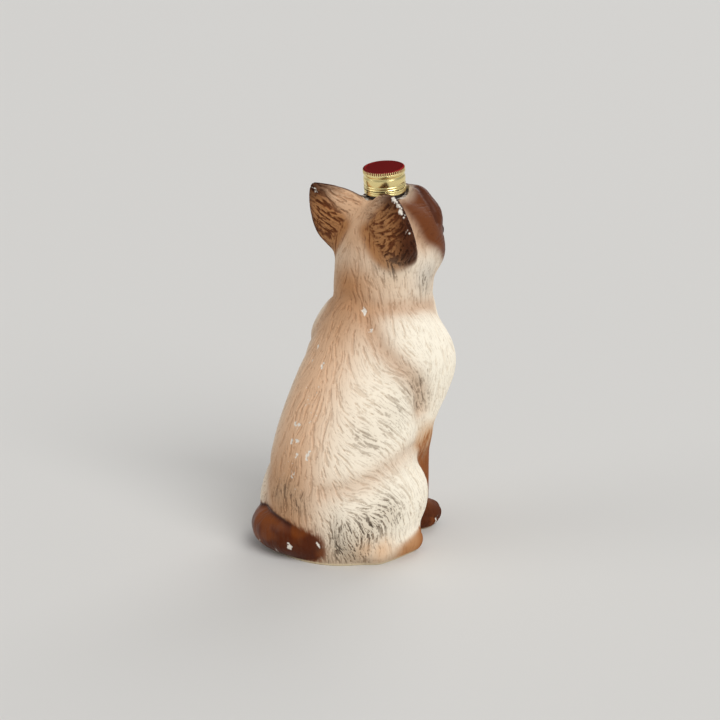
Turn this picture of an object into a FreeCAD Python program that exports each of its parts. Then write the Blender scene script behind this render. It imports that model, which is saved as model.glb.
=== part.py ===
import FreeCAD, Part
import math
import os
from FreeCAD import Vector

# Figural decanter, a seated cat: slip-cast ceramic body, cemented neck, roll-on screw cap.
# Millimetres and degrees. The cat faces -Y, its left side is +X, the foot stands on z = 0.

# Driving dimensions of the casting
CROWN_HEIGHT = 237.0      # foot to the crown of the head
WALL = 5.0                # thickness of the cast wall
FLOOR = 7.0               # thickness of the foot
HEAD_TILT = 16.0          # how far the head looks up
EAR_LENGTH = 42.5
EAR_WIDTH = 36.0
EAR_WALL = 3.2
TAIL_DIAMETER = 28.6      # at the root
PAW_LENGTH = 34.0

# Driving dimensions of the neck and the closure
NECK_LEAN_BACK = 8.5      # lean of the neck axis towards the cat's back
NECK_LEAN_RIGHT = 3.0     # and towards its right, as the neck was set by hand
NECK_REACH = 38.5         # neck axis ahead of the middle of the foot, at the crown
CAP_DIAMETER = 28.2
CAP_HEIGHT = 17.0         # tamper ring and cap together
CAP_WALL = 0.35
RING_HEIGHT = 3.2
RING_GAP = 0.4            # the broken bridges between ring and cap
BORE_DIAMETER = 18.0
SHANK_DIAMETER = 22.0
CEMENT = 1.0              # thickness of the cement round the shank
STUB_WALL = 3.0           # ceramic rim round the neck hole
FINGER_GAP = 1.5          # clear space cut in the crown round the cap
SHANK_LENGTH = 12.0
WAD_THICKNESS = 2.0
DISC_THICKNESS = 0.6
RUN = 0.35                # clearance between pieces that slide or turn
PLAY = 0.12               # clearance between flat faces that turn on each other

SCALE = CROWN_HEIGHT / 237.0


def sized(*values):
    """Lengths of the figure, which grow with its height."""
    return [v * SCALE for v in values]


# The trunk from foot to shoulders: height, centre ahead of the foot, half width, half depth
TORSO = [
    sized(-12, -2, 45, 45), sized(0, -2, 46, 46.5), sized(20, -3, 50, 49.5), sized(43, -3.5, 51, 50),
    sized(75, 2, 49, 49), sized(97, 11, 46.5, 49.5), sized(118, 21, 44.5, 48.5), sized(133, 28, 42, 46),
    sized(147, 32, 39.5, 42.5), sized(158, 34.5, 36.8, 39), sized(166, 35.5, 33, 34.5),
    sized(173, 36, 25, 26), sized(178, 36.5, 14, 14),
]

# Rounded limbs of the skin: two ends as side, ahead, height, a radius at each end, blend
NECK = (sized(0, 34.5, 150), sized(0, 38.5, 190), 33.4 * SCALE, 33.8 * SCALE, 5 * SCALE)
NOSE_BRIDGE = (sized(0, 60.4, 230.9), sized(0, 80.2, 217.9), 8.5 * SCALE, 4.8 * SCALE, 6 * SCALE)

# Rounded masses: side, ahead, height, three radii, pitch, blend. A side of 0 is one mass, else a pair.
BODY_MASSES = [
    (sized(36, -1, 33, 18.5, 42, 32), 16, 5 * SCALE),       # thigh
    (sized(27, 25, 131, 22, 25, 36), -20, 5 * SCALE),       # shoulder blade
    (sized(28, 46, 124, 22, 24, 31), 0, 8 * SCALE),         # point of the shoulder
    (sized(0, 50, 120, 26, 24, 42), -10, 10 * SCALE),       # chest
]
HEAD_MASSES = [
    (sized(0, 42, 208, 36, 35.5, 30.5), HEAD_TILT, 5 * SCALE),   # skull
    (sized(18.5, 50, 198, 17.5, 20, 17.5), 0, 8 * SCALE),   # cheek
    (sized(0, 69, 206, 13.5, 16, 12.5), HEAD_TILT, 8 * SCALE),   # muzzle
    (sized(10, 56, 231, 11, 12, 10.5), 0, 7 * SCALE),       # brow
    (sized(17, 60, 221, 11, 11, 11), 0, 6 * SCALE),         # edge of the eye socket
]
FACE_MASSES = [
    (sized(6, 79.8, 206.9, 7.2, 7.6, 6.8), HEAD_TILT, 3 * SCALE),   # pad of the lip
    (sized(0, 79.4, 199, 8, 7.5, 6), HEAD_TILT, 3 * SCALE),      # chin
]
EYE_HOLLOW = (sized(14.5, 73.5, 223.3, 9, 6, 7), HEAD_TILT, 4 * SCALE)

# Creases pressed into the clay: points on the line as side, ahead, height, then depth and half width
CREASES = [
    # behind the shoulder
    ([sized(17.9, 2.4, 160), sized(31.4, 1.8, 143.6), sized(42.3, 6.7, 133.2), sized(47.6, 16.4, 122.7),
      sized(46.5, 24.5, 111.1), sized(44.6, 26.8, 98.3)], 1.7 * SCALE, 4.5 * SCALE),
    # round the neck
    ([sized(0, 0.4, 171.5), sized(14.7, 2.7, 166.8), sized(26.2, 11.7, 166.6), sized(34.9, 26.5, 166.9),
      sized(31, 53.3, 162.7)], 1.6 * SCALE, 4 * SCALE),
    # over the thigh
    ([sized(26.7, -45.3, 52.8), sized(37.1, -36.3, 56), sized(44.8, -25.5, 59.3), sized(49, -11.1, 65.8),
      sized(48.4, 11.4, 71.9), sized(44.1, 23.7, 72.1)], 1.6 * SCALE, 4.5 * SCALE),
]

# Heights of the sections that carry the skin, closer together at the creases, the jaw and the face
LEVELS = sized(0, 9, 20, 32, 44, 53, 61, 69, 78, 90, 102, 114, 125, 135, 144, 151, 157, 162, 166.5, 171,
               176, 181, 187, 193, 198, 203, 208, 213, 218, 223.5, 229, 233, 235.6, 236.6)
SECTION_POINTS = 48


def torso_at(height):
    """Centre, half width and half depth of the body at a height, a cubic through the table."""
    rows = TORSO
    i = 0
    while i < len(rows) - 2 and height > rows[i + 1][0]:
        i += 1
    low, high = rows[i], rows[i + 1]
    step = high[0] - low[0]
    t = min(max((height - low[0]) / step, 0.0), 1.0)
    before = rows[max(i - 1, 0)]
    after = rows[min(i + 2, len(rows) - 1)]
    out = []
    for k in (1, 2, 3):
        slope_low = (high[k] - before[k]) / (high[0] - before[0]) * step
        slope_high = (after[k] - low[k]) / (after[0] - low[0]) * step
        a = 2 * t ** 3 - 3 * t ** 2 + 1
        b = t ** 3 - 2 * t ** 2 + t
        c = 3 * t ** 2 - 2 * t ** 3
        d = t ** 3 - t ** 2
        out.append(a * low[k] + b * slope_low + c * high[k] + d * slope_high)
    return out


def mass_depth(mass, side, ahead, height):
    """Signed distance, about, from a rounded mass: negative inside it."""
    (ms, ma, mh, rs, ra, rh), pitch, _ = mass
    if ms:
        side = abs(side)
    c = math.cos(math.radians(pitch))
    s = math.sin(math.radians(pitch))
    da = ahead - ma
    dh = height - mh
    local = (side - ms, da * c + dh * s, dh * c - da * s)
    k0 = math.sqrt(sum((v / r) ** 2 for v, r in zip(local, (rs, ra, rh))))
    k1 = math.sqrt(sum((v / r ** 2) ** 2 for v, r in zip(local, (rs, ra, rh)))) + 1e-9
    return k0 * (k0 - 1) / k1


def blend(a, b, width):
    """Union of two depths with a rounded valley between them."""
    h = max(width - abs(a - b), 0.0) / width
    return min(a, b) - h * h * width / 4


def limb_distance(a, b, ra, rb, place):
    """Signed distance from a limb whose radius goes from ra at a to rb at b."""
    along = [v - u for u, v in zip(a, b)]
    offset = [v - u for u, v in zip(a, place)]
    t = sum(u * v for u, v in zip(along, offset)) / sum(u * u for u in along)
    t = min(max(t, 0.0), 1.0)
    return math.dist(place, [u + t * v for u, v in zip(a, along)]) - ra - (rb - ra) * t


def body_depth(side, ahead, height):
    """Signed distance, about, from the blended body and the head with its eye hollows."""
    centre, half_width, half_depth = torso_at(height)
    k = math.hypot(side / half_width, (ahead - centre) / half_depth)
    depth = max((k - 1) * min(half_width, half_depth) * 0.9, height - TORSO[-1][0])
    depth = blend(depth, limb_distance(*NECK[:4], (side, ahead, height)), NECK[4])
    for mass in BODY_MASSES:
        depth = blend(depth, mass_depth(mass, side, ahead, height), mass[2])
    if height > HEAD_MASSES[0][0][2] - 60 * SCALE:
        for mass in HEAD_MASSES:
            depth = blend(depth, mass_depth(mass, side, ahead, height), mass[2])
        depth = -blend(-depth, mass_depth(EYE_HOLLOW, side, ahead, height), EYE_HOLLOW[2])
    return depth


def skin_depth(side, ahead, height):
    """The body's depth with the relief of the outside: creases, bridge of the nose, lips and chin."""
    depth = body_depth(side, ahead, height)
    for line, deep, wide in CREASES:
        pairs = zip(line[:-1], line[1:])
        away = min(limb_distance(a, b, 0, 0, (abs(side), ahead, height)) for a, b in pairs)
        depth += deep * math.exp(-(away / wide) ** 2)
    if height > FACE_MASSES[-1][0][2] - 20 * SCALE and ahead > FACE_MASSES[-1][0][1] - 40 * SCALE:
        depth = blend(depth, limb_distance(*NOSE_BRIDGE[:4], (side, ahead, height)), NOSE_BRIDGE[4])
        for mass in FACE_MASSES:
            depth = blend(depth, mass_depth(mass, side, ahead, height), mass[2])
    return depth


def tilt_at(level):
    """Slope of a section: level through the body, then leaning up with the head."""
    t = min(max((level / SCALE - 150) / 75, 0.0), 1.0)
    return math.tan(math.radians(HEAD_TILT)) * t * t * (3 - 2 * t)


def section(level, depth, inset):
    """Closed spline where a plane meets the place at which a depth is inset below the skin."""
    centre = torso_at(level)[0] + 5.5 * SCALE * min(max((level / SCALE - 170) / 38, 0.0), 1.0)
    slope = tilt_at(level)
    points = []
    for i in range(SECTION_POINTS):
        turn = 2 * math.pi * i / SECTION_POINTS
        ds, da = math.sin(turn), math.cos(turn)
        near, far = 0.0, 75.0 * SCALE
        for _ in range(24):
            r = (near + far) / 2
            if depth(r * ds, centre + r * da, level + slope * r * da) < -inset:
                near = r
            else:
                far = r
        points.append(Vector(near * ds, -(centre + near * da), level + slope * near * da))
    curve = Part.BSplineCurve()
    curve.interpolate(Points=points, PeriodicFlag=True)
    return Part.Wire([curve.toShape()])


def limb(a, b, ra, rb):
    """Round limb from a to b, a cone with a ball at each end that it touches smoothly."""
    a, b = Vector(*a), Vector(*b)
    length = (b - a).Length
    lean = math.asin((ra - rb) / length)
    c, s = math.cos(lean), math.sin(lean)
    foot = Vector(ra * c, 0, ra * s)
    head = Vector(rb * c, 0, length + rb * s)
    turn_a = (lean - math.pi / 2) / 2
    turn_b = (lean + math.pi / 2) / 2
    low = Part.Arc(Vector(0, 0, -ra), Vector(ra * math.cos(turn_a), 0, ra * math.sin(turn_a)), foot)
    high = Part.Arc(head, Vector(rb * math.cos(turn_b), 0, length + rb * math.sin(turn_b)),
                    Vector(0, 0, length + rb))
    edges = [low.toShape(), Part.makeLine(foot, head), high.toShape(),
             Part.makeLine(Vector(0, 0, length + rb), Vector(0, 0, -ra))]
    solid = Part.Face(Part.Wire(edges)).revolve(Vector(), Vector(0, 0, 1), 360)
    solid.Placement = FreeCAD.Placement(a, FreeCAD.Rotation(Vector(0, 0, 1), b - a))
    return solid


def ellipsoid(centre, radii):
    """Ball stretched to three radii."""
    stretch = FreeCAD.Matrix()
    stretch.scale(*radii)
    stretch.move(Vector(*centre))
    return Part.makeSphere(1.0).transformGeometry(stretch)


def mirrored(solid):
    """The same piece on the cat's other side."""
    return solid.mirror(Vector(), Vector(1, 0, 0))


def leaf(base, axis, facing, length, outer, inner, half_depth):
    """Ear-shaped loft along an axis, its inner side wider than its outer one, drawn to a narrow tip."""
    across = facing.cross(axis)
    wires = []
    for t in (-0.42, -0.25, -0.05, 0.15, 0.35, 0.55, 0.75, 0.9, 1.0):
        low = math.sqrt(1 - (min(t, 0) / 0.46) ** 2)
        up = max(t, 0)
        out = outer * (1 - up ** 2) ** 0.8 * low
        into = inner * (0.75 + 1.1 * up - 1.85 * up ** 2) * low
        deep = half_depth * (1 - up ** 2) * low + 1.2
        middle = base + axis * (length * t) + across * ((into - out) / 2)
        side = middle + across * ((into + out) / 2 + 1.5)
        ring = Part.Ellipse(side, middle + facing * deep, middle)
        wires.append(Part.Wire([ring.toShape()]))
    return Part.makeLoft(wires, True)


def ear():
    """The cat's left ear: a leaf with a smaller leaf hollowed out of its front."""
    base = Vector(*sized(24.5, -26.5, 207))
    axis = Vector(12.9, 19.3, 36.5).normalize()
    facing = Vector(0.25, -0.95, 0.2)
    facing = (facing - axis * facing.dot(axis)).normalize()
    outer = EAR_WIDTH / 2
    inner = EAR_WIDTH * 0.83
    deep = EAR_WIDTH * 0.375
    shell = leaf(base, axis, facing, EAR_LENGTH, outer, inner, deep)
    hollow = leaf(base + facing * (EAR_WALL * 2.5) + axis * 5, axis, facing, EAR_LENGTH - 7,
                  outer - EAR_WALL, inner - EAR_WALL * 2, deep + 1)
    return shell.cut(hollow)


def tail():
    """Tail that leaves the spine and lies round the cat's left side, thinning to the tip."""
    r = TAIL_DIAMETER / 2
    path = Part.BSplineCurve()
    stops = [(-10, 37, 15), (8, 45.5, 14.5), (30, 41.5, 13.8), (46, 20, 13), (51, -6, 11.8), (46, -31, 10)]
    path.interpolate(Points=[Vector(*sized(*p)) for p in stops])
    wires = []
    tip = None
    for i in range(9):
        t = path.FirstParameter + (path.LastParameter - path.FirstParameter) * i / 8
        radius = r * (1 - 0.35 * (i / 8) ** 1.6)
        at = path.value(t)
        along = path.tangent(t)[0]
        wires.append(Part.Wire([Part.Circle(at, along, radius).toShape()]))
        tip = Part.makeSphere(radius, at)
    return Part.makeLoft(wires, True).fuse(tip)


# Neck axis and its places: distances along it are counted from the lower edge of the tamper ring
lean = Vector(-math.tan(math.radians(NECK_LEAN_RIGHT)), math.tan(math.radians(NECK_LEAN_BACK)), 1)
NECK_AXIS = lean.normalize()
NECK_ORIGIN = Vector(0, -NECK_REACH * SCALE, CROWN_HEIGHT + 1.5)
COLLAR = 2.4
STUB_TOP = -COLLAR         # the ring stands on the collar and the collar on the stub
RIM = CAP_HEIGHT - CAP_WALL - PLAY - WAD_THICKNESS - DISC_THICKNESS
SHANK_R = SHANK_DIAMETER / 2
HOLE_R = SHANK_R + CEMENT
BORE_R = BORE_DIAMETER / 2
CAP_R = CAP_DIAMETER / 2
SKIRT_R = CAP_R - CAP_WALL
CAP_FOOT = RING_HEIGHT + RING_GAP
NECK_R = SKIRT_R - 1.6
BEAD_R = SKIRT_R - RUN
GROOVE_R = NECK_R - 0.6
LIP_R = GROOVE_R + RUN


def turned(outline):
    """Solid turned from a closed outline of (radius, distance along the neck axis)."""
    points = [Vector(r, 0, s) for r, s in outline]
    face = Part.Face(Part.makePolygon(points + points[:1]))
    solid = face.revolve(Vector(), Vector(0, 0, 1), 360)
    solid.Placement = FreeCAD.Placement(NECK_ORIGIN, FreeCAD.Rotation(Vector(0, 0, 1), NECK_AXIS))
    return solid


def ceramic_figure():
    """One casting: skin, limbs, ears, tail and neck stub, hollow inside and open at the neck."""
    outer = Part.makeLoft([section(z, skin_depth, 0.0) for z in LEVELS], True)
    foreleg = [limb(sized(30, -42, 104), sized(28, -33, 76), 17 * SCALE, 13.5 * SCALE),
               limb(sized(28, -36, 74), sized(19.5, -49, 16), 12.5 * SCALE, 9.5 * SCALE),
               ellipsoid(sized(19.5, -56, 9), (12 * SCALE, PAW_LENGTH / 2, 10.5 * SCALE))]
    hind_foot = limb(sized(42, 12, 7), sized(43.5, -19, 7.5), 9 * SCALE, 9.01 * SCALE)
    eye = Part.makeSphere(10 * SCALE, Vector(*sized(13.4, -63.8, 221.3)))
    pair = foreleg + [hind_foot, eye, ear()]
    pieces = pair + [mirrored(p) for p in pair] + [tail()]
    stub_r = HOLE_R + STUB_WALL
    pieces.append(turned([(0, -13), (stub_r, -13), (stub_r, STUB_TOP - 0.8),
                          (stub_r - 0.8, STUB_TOP), (0, STUB_TOP)]))
    figure = outer.multiFuse(pieces)
    below = Part.makeBox(400, 400, 60, Vector(-200, -200, -60))
    land_r = CAP_R + FINGER_GAP
    land = turned([(0, STUB_TOP), (land_r, STUB_TOP), (land_r, 40), (0, 40)])
    figure = figure.cut(below).cut(land)
    hollow = [z for z in LEVELS[::2] if FLOOR + 2 < z < LEVELS[-1] - WALL - 1]
    cavity = Part.makeLoft([section(z, body_depth, WALL) for z in [FLOOR] + hollow], True)
    hole = turned([(0, -26), (HOLE_R, -26), (HOLE_R, 5), (0, 5)])
    return figure.cut(cavity.fuse(hole)).removeSplitter()


def neck_finish():
    """Neck with a bead for the tamper ring, a collar on the stub and a shank in the cement."""
    return turned([
        (BORE_R, STUB_TOP - SHANK_LENGTH), (SHANK_R, STUB_TOP - SHANK_LENGTH), (SHANK_R, STUB_TOP),
        (HOLE_R + 1.2, STUB_TOP), (HOLE_R + 1.2, -PLAY), (GROOVE_R, -PLAY),
        (GROOVE_R, RING_HEIGHT - 1.4), (BEAD_R - 0.5, RING_HEIGHT - 1.0), (BEAD_R, RING_HEIGHT - 0.5),
        (BEAD_R, RING_HEIGHT), (NECK_R, RING_HEIGHT + 0.6), (NECK_R, RIM - 0.8),
        (NECK_R - 0.5, RIM), (BORE_R + 0.8, RIM), (BORE_R, RIM - 0.8),
    ])


def neck_cement():
    """Ring of cement between the shank and the hole in the ceramic."""
    low = STUB_TOP - SHANK_LENGTH + 2
    return turned([(SHANK_R, low), (HOLE_R, low), (HOLE_R, STUB_TOP), (SHANK_R, STUB_TOP)])


def tamper_ring():
    """Band left on the neck when the bridges break, its lower edge turned in under the bead."""
    w = CAP_WALL
    return turned([(LIP_R, 0), (CAP_R - 0.5, 0), (CAP_R, 0.5), (CAP_R, RING_HEIGHT),
                   (CAP_R - w, RING_HEIGHT), (CAP_R - w, 0.5 + w), (CAP_R - 0.5 - w, w), (LIP_R, w)])


def cap_shell():
    """Drawn cap: bead at the foot, bulged skirt, groove, upright band and a flat top."""
    w = CAP_WALL
    top = CAP_HEIGHT
    outside = [(CAP_R, CAP_FOOT), (CAP_R, CAP_FOOT + 0.8), (CAP_R - 0.35, CAP_FOOT + 1.3),
               (CAP_R, CAP_FOOT + 2.4), (CAP_R, top - 5.2), (CAP_R - 0.45, top - 4.4),
               (CAP_R - 0.45, top - 4.0), (CAP_R, top - 3.2), (CAP_R, top - 0.7), (CAP_R - 0.7, top)]
    inside = [(r - w, s) for r, s in outside[:-2]]
    inside += [(CAP_R - w, top - 0.7 - w / 2), (CAP_R - 0.7 - w / 2, top - w)]
    return turned(outside + [(0, top), (0, top - w)] + inside[::-1])


def cap_wad():
    """Pulpboard wad under the top of the cap."""
    high = CAP_HEIGHT - CAP_WALL - PLAY
    r = SKIRT_R - RUN
    low = high - WAD_THICKNESS
    return turned([(0, low), (r, low), (r, high - 0.5), (r - 0.5, high), (0, high)])


def seal_disc():
    """Cork disc that lies on the rim of the neck."""
    r = NECK_R - 0.1
    return turned([(0, RIM), (r, RIM), (r, RIM + DISC_THICKNESS), (0, RIM + DISC_THICKNESS)])


PIECES = {
    "ceramic_figure": ceramic_figure,
    "neck_finish": neck_finish,
    "neck_cement": neck_cement,
    "tamper_ring": tamper_ring,
    "cap_shell": cap_shell,
    "cap_wad": cap_wad,
    "seal_disc": seal_disc,
}

os.makedirs("parts", exist_ok=True)
for name, make in PIECES.items():
    shape = make()
    if shape.ShapeType != "Solid" and len(shape.Solids) == 1:
        shape = shape.Solids[0]
    shape.exportStep("parts/" + name + ".step")
    size = round(shape.Volume / 1000, 2)
    print(name, shape.isValid(), len(shape.Solids), size, "ml", len(shape.Faces), "faces")
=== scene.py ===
# %% [markdown]
# A seated-cat decanter. The bottle is one hollow casting of bisque clay, airbrushed in cream, tan and
# dark brown, with a dark moulded neck cemented into the crown and a gold roll-on cap on the neck.
# The script loads the solids of the part as a fixed frame and dresses them in the same place.

# %% Load the frame
import math

import bpy
import numpy as np
from mathutils import Matrix
from numpy.linalg import norm

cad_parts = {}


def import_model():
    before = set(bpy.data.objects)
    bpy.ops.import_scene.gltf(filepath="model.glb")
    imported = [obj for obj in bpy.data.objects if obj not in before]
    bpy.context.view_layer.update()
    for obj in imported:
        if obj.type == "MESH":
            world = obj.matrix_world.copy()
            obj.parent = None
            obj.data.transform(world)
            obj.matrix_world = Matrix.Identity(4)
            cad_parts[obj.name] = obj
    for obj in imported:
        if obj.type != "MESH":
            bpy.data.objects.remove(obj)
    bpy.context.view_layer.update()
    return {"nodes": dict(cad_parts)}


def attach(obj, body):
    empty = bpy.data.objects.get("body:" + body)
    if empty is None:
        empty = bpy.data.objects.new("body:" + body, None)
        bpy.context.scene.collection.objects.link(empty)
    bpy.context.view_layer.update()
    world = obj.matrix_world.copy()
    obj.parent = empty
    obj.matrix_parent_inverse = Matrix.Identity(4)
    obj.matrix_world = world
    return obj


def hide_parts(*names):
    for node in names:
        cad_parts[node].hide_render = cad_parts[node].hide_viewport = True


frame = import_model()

SCENE = bpy.context.scene
NODES = frame["nodes"]
MM = 0.001
print("frame", sorted(NODES))

# %% [markdown]
# The figure was modelled in clay as rounded masses that run into each other. Here each mass is a
# depth: a number for every point, negative inside the mass, about the distance to its surface.
# Two depths join with a filled valley, as a thumb smooths clay, so all masses make one skin. A skin
# with legs, ears and a tail is no single grid, which is why it is worked out from depths instead.

# %% Depths of balls and limbs
VALLEY = 5     # usual width of a filled valley, in millimetres as all of the figure


def vec(*values):
    """Single-precision array of some numbers."""
    return np.array(values, np.float32)


def unit(v):
    """Arrow of length 1."""
    return v / norm(v)


def unit_across(v, axis):
    """Arrow of length 1, made square to an axis."""
    return unit(v - axis * (v @ axis))


def ball(p, centre, radii, pitch=0.0):
    """Depth in a ball stretched to three radii and tipped nose-up: k0 (k0 - 1) / k1, where k0 and k1
    are the lengths of the point over the radii and over the squared radii."""
    q = p - vec(*centre)
    c, s = math.cos(math.radians(pitch)), math.sin(math.radians(pitch))
    q = np.stack([q[:, 0], q[:, 1] * c - q[:, 2] * s, q[:, 1] * s + q[:, 2] * c], 1)
    r = vec(*radii)
    k0 = norm(q / r, axis=1)
    k1 = norm(q / r ** 2, axis=1) + 1e-6
    return k0 * (k0 - 1) / k1


def limb(p, a, b, ra, rb):
    """Depth in a limb from a to b: the distance to the axis less a radius that goes from ra to rb."""
    a, b = vec(*a), vec(*b)
    along = b - a
    t = np.clip((p - a) @ along / (along @ along), 0, 1)
    return norm(p - a - t[:, None] * along, axis=1) - (ra + (rb - ra) * t)


def join(a, b, width):
    """Union with a filled valley: min(a, b) - h h width / 4, h being max(width - |a - b|, 0) / width."""
    h = np.maximum(width - np.abs(a - b), 0) / width
    return np.minimum(a, b) - h * h * width / 4


def carve(d, tool, width):
    """Depth with a tool cut out of it and the edge rounded: a union turned inside out."""
    return -join(-d, tool, width)


# %% [markdown]
# Creases, mouth and toes are lines drawn with a tool, each a bell-shaped valley about a broken line. Left
# and right are alike but for the tail, so a paired mass is written once, for the left, and looked up
# with the side made positive.

# %% Lines and sides


def curve(at, xs, ys):
    """Cubic through the points (xs, ys), each slope taken from the points on both sides."""
    xs, ys = np.array(xs, np.float32), np.array(ys, np.float32)
    slope = np.gradient(ys, xs)
    i = np.clip(np.searchsorted(xs, at) - 1, 0, len(xs) - 2)
    step = xs[i + 1] - xs[i]
    t = np.clip((at - xs[i]) / step, 0, 1)
    low = ys[i] * (1 + 2 * t) * (1 - t) ** 2 + slope[i] * step * t * (1 - t) ** 2
    return low + ys[i + 1] * t * t * (3 - 2 * t) + slope[i + 1] * step * t * t * (t - 1)


def path_distance(p, points):
    """Distance to a broken line through the points."""
    return np.min([limb(p, a, b, 0, 0) for a, b in zip(points[:-1], points[1:])], axis=0)


def bell(x, width):
    """1 in the middle, falling off on both sides: exp(-(x / width)^2)."""
    return np.exp(-(x / width) ** 2)


def mirrored(p):
    """Points with the side made positive."""
    q = p.copy()
    q[:, 0] = np.abs(q[:, 0])
    return q


# %% [markdown]
# The body: a leaning trunk, thighs, shoulder blades, upper arms, chest, legs and paws. Points are in
# millimetres from the middle of the foot; the cat faces -Y and its left is +X. The trunk is a stack of
# ellipses because its lean and girth were read off level by level.

# %% Body and legs
# Height, middle, half width and half depth of the trunk
TRUNK = np.array([
    (-12, 2, 45, 45), (0, 2, 46, 46.5), (20, 3, 50, 49.5), (43, 3.5, 51, 50), (75, -2, 49, 49),
    (97, -11, 46.5, 49.5), (118, -21, 44.5, 48.5), (133, -28, 42, 46), (147, -32, 39.5, 42.5),
    (158, -34.5, 36.8, 39), (166, -35.5, 33, 34.5), (173, -36, 25, 26), (178, -36.5, 14, 14)], np.float32)
# Limbs as two ends and their radii, balls as centre, radii and pitch
THROAT = ((0, -34.5, 150), (0, -38.5, 190), 33.4, 33.8)
UPPER_ARM = ((30, -42, 104), (28, -33, 76), 17, 13.5)
FOREARM = ((28, -36, 74), (19.5, -49, 16), 12.5, 9.5)
PAW = ((19.5, -56, 9), (12, 17, 10.5))
THIGH = ((36, 1, 33), (18.5, 42, 32), 16)
SHOULDER_BLADE = ((27, -25, 131), (22, 25, 36), -20)
SHOULDER_POINT = ((28, -46, 124), (22, 24, 31))
CHEST = ((0, -50, 120), (26, 24, 42), -10)
BODY_MASSES = [(THIGH, VALLEY), (SHOULDER_BLADE, VALLEY), (SHOULDER_POINT, 8), (CHEST, 10)]


def trunk_depth(p):
    """Depth in the trunk: at each height an ellipse, whose middle and half axes follow the table. It is
    taken as 0.9 of the distance across, since the walls lean."""
    z = p[:, 2]
    middle, wide, deep = [curve(z, TRUNK[:, 0], TRUNK[:, k]) for k in (1, 2, 3)]
    k = np.hypot(p[:, 0] / wide, (p[:, 1] - middle) / deep)
    return np.maximum((k - 1) * np.minimum(wide, deep) * 0.9, z - TRUNK[-1, 0])


def body_depth(p):
    """Depth in trunk, neck, thighs, shoulders and forelegs."""
    q = mirrored(p)
    d = join(trunk_depth(q), limb(q, *THROAT), VALLEY)
    for mass, width in BODY_MASSES:
        d = join(d, ball(q, *mass), width)
    leg = join(limb(q, *UPPER_ARM), limb(q, *FOREARM), 8)
    leg = join(leg, ball(q, *PAW), 6)
    return join(d, leg, VALLEY)


# %% [markdown]
# The low pieces: hind feet under the thighs, and the tail, which leaves the spine and lies round the
# cat's left side. Toes are shallow grooves pressed into the paws, with a longer one along the outer toe.

# %% Feet, tail and toes
LOW_TOP = 45     # feet and tail end below this height
HIND_FOOT = ((42, 12, 7), (43.5, -19, 7.5), 9, 9)
TAIL_STOPS = [(-10, 37, 15), (8, 45.5, 14.5), (30, 41.5, 13.8), (46, 20, 13), (51, -6, 11.8),
              (46, -31, 10)]
TAIL_STEPS = np.linspace(0, 5, 17)
TAIL = np.stack([curve(TAIL_STEPS, range(6), axis) for axis in zip(*TAIL_STOPS)], 1)
TAIL_RADII = 14.3 - 5.0 * (TAIL_STEPS / 5) ** 1.6
# Side of the middle toe groove, gap to the next, and where the grooves start
TOES = ((19.5, 5.4, -62), (43.6, 4.4, -21))
TOE_DEPTH, TOE_WIDTH, TOE_TOP, TOE_REACH = 1.7, 1.2, 15, 14
OUTER_TOE = [(32, -46, 13), (31, -54, 9.5), (29, -64, 6)]
OUTER_TOE_GROOVE = 1.3     # deep, and as wide


def low_depth(p):
    """Depth in the hind feet and depth in the tail."""
    tail = [limb(p, *TAIL[k:k + 2], *TAIL_RADII[k:k + 2]) for k in range(len(TAIL) - 1)]
    return limb(mirrored(p), *HIND_FOOT), np.min(tail, axis=0)


def before(x, edge, soft):
    """1 well before the edge and 0 well after it: 1 / (1 + exp((x - edge) / soft))."""
    return 1 / (1 + np.exp((x - edge) / soft))


def toe_grooves(p):
    """Depth taken from the paws: three grooves on each, a bell across and fading towards the wrist, and
    one along the outer toe."""
    q = mirrored(p)
    low = before(q[:, 2], TOE_TOP, 1.5)
    taken = 0
    for middle, gap, start in TOES:
        front = before(q[:, 1], start, 1.6) * (q[:, 1] > start - TOE_REACH)
        for k in (-1, 0, 1):
            taken = taken + TOE_DEPTH * bell(q[:, 0] - middle - k * gap, TOE_WIDTH) * front * low
    return taken + OUTER_TOE_GROOVE * bell(path_distance(q, OUTER_TOE), OUTER_TOE_GROOVE)


# %% [markdown]
# The eyes look out of almond openings. In clay a ball is set in a hollow and two thin lids are laid over
# it; here the lids are a shell round the ball, cut open where two circles overlap. Places on the face
# are in the head's own axes: side, ahead and up from the middle of the skull.

# %% Eyes
EYE = vec(13.4, 24.6, 6.8)
EYE_R = 9.4
EYEBALL = (EYE, (EYE_R,) * 3)
LIDS = (EYE, (EYE_R + 1.2,) * 3)
EYE_OUT = unit(vec(0.44, 0.88, 0.16))                       # the way the eye looks
EYE_SIDE = unit_across(vec(0.86, -0.44, 0.26), EYE_OUT)     # along the lids
EYE_UP = np.cross(EYE_OUT, EYE_SIDE)
LID_R, LID_SHIFT = 8.9, 4.4     # circles that bound the opening, and how far they lie off its middle
LID_FRONT = 2                   # the opening starts this far ahead of the eye's middle


def almond(h):
    """Depth in the eye's opening, where two circles across the line of sight overlap, and the place
    along and across the lids."""
    q = h - EYE
    a, b = q @ EYE_SIDE, q @ EYE_UP
    open_eye = np.maximum(np.hypot(a, b - LID_SHIFT), np.hypot(a, b + LID_SHIFT)) - LID_R
    return np.maximum(open_eye, LID_FRONT - q @ EYE_OUT), a, b


# %% [markdown]
# The head looks up a little. Skull, cheeks, muzzle and brows are balls as in the body; bridge, lips, chin
# and nose are placed in the head's axes, which makes the face easier to set out.

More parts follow.
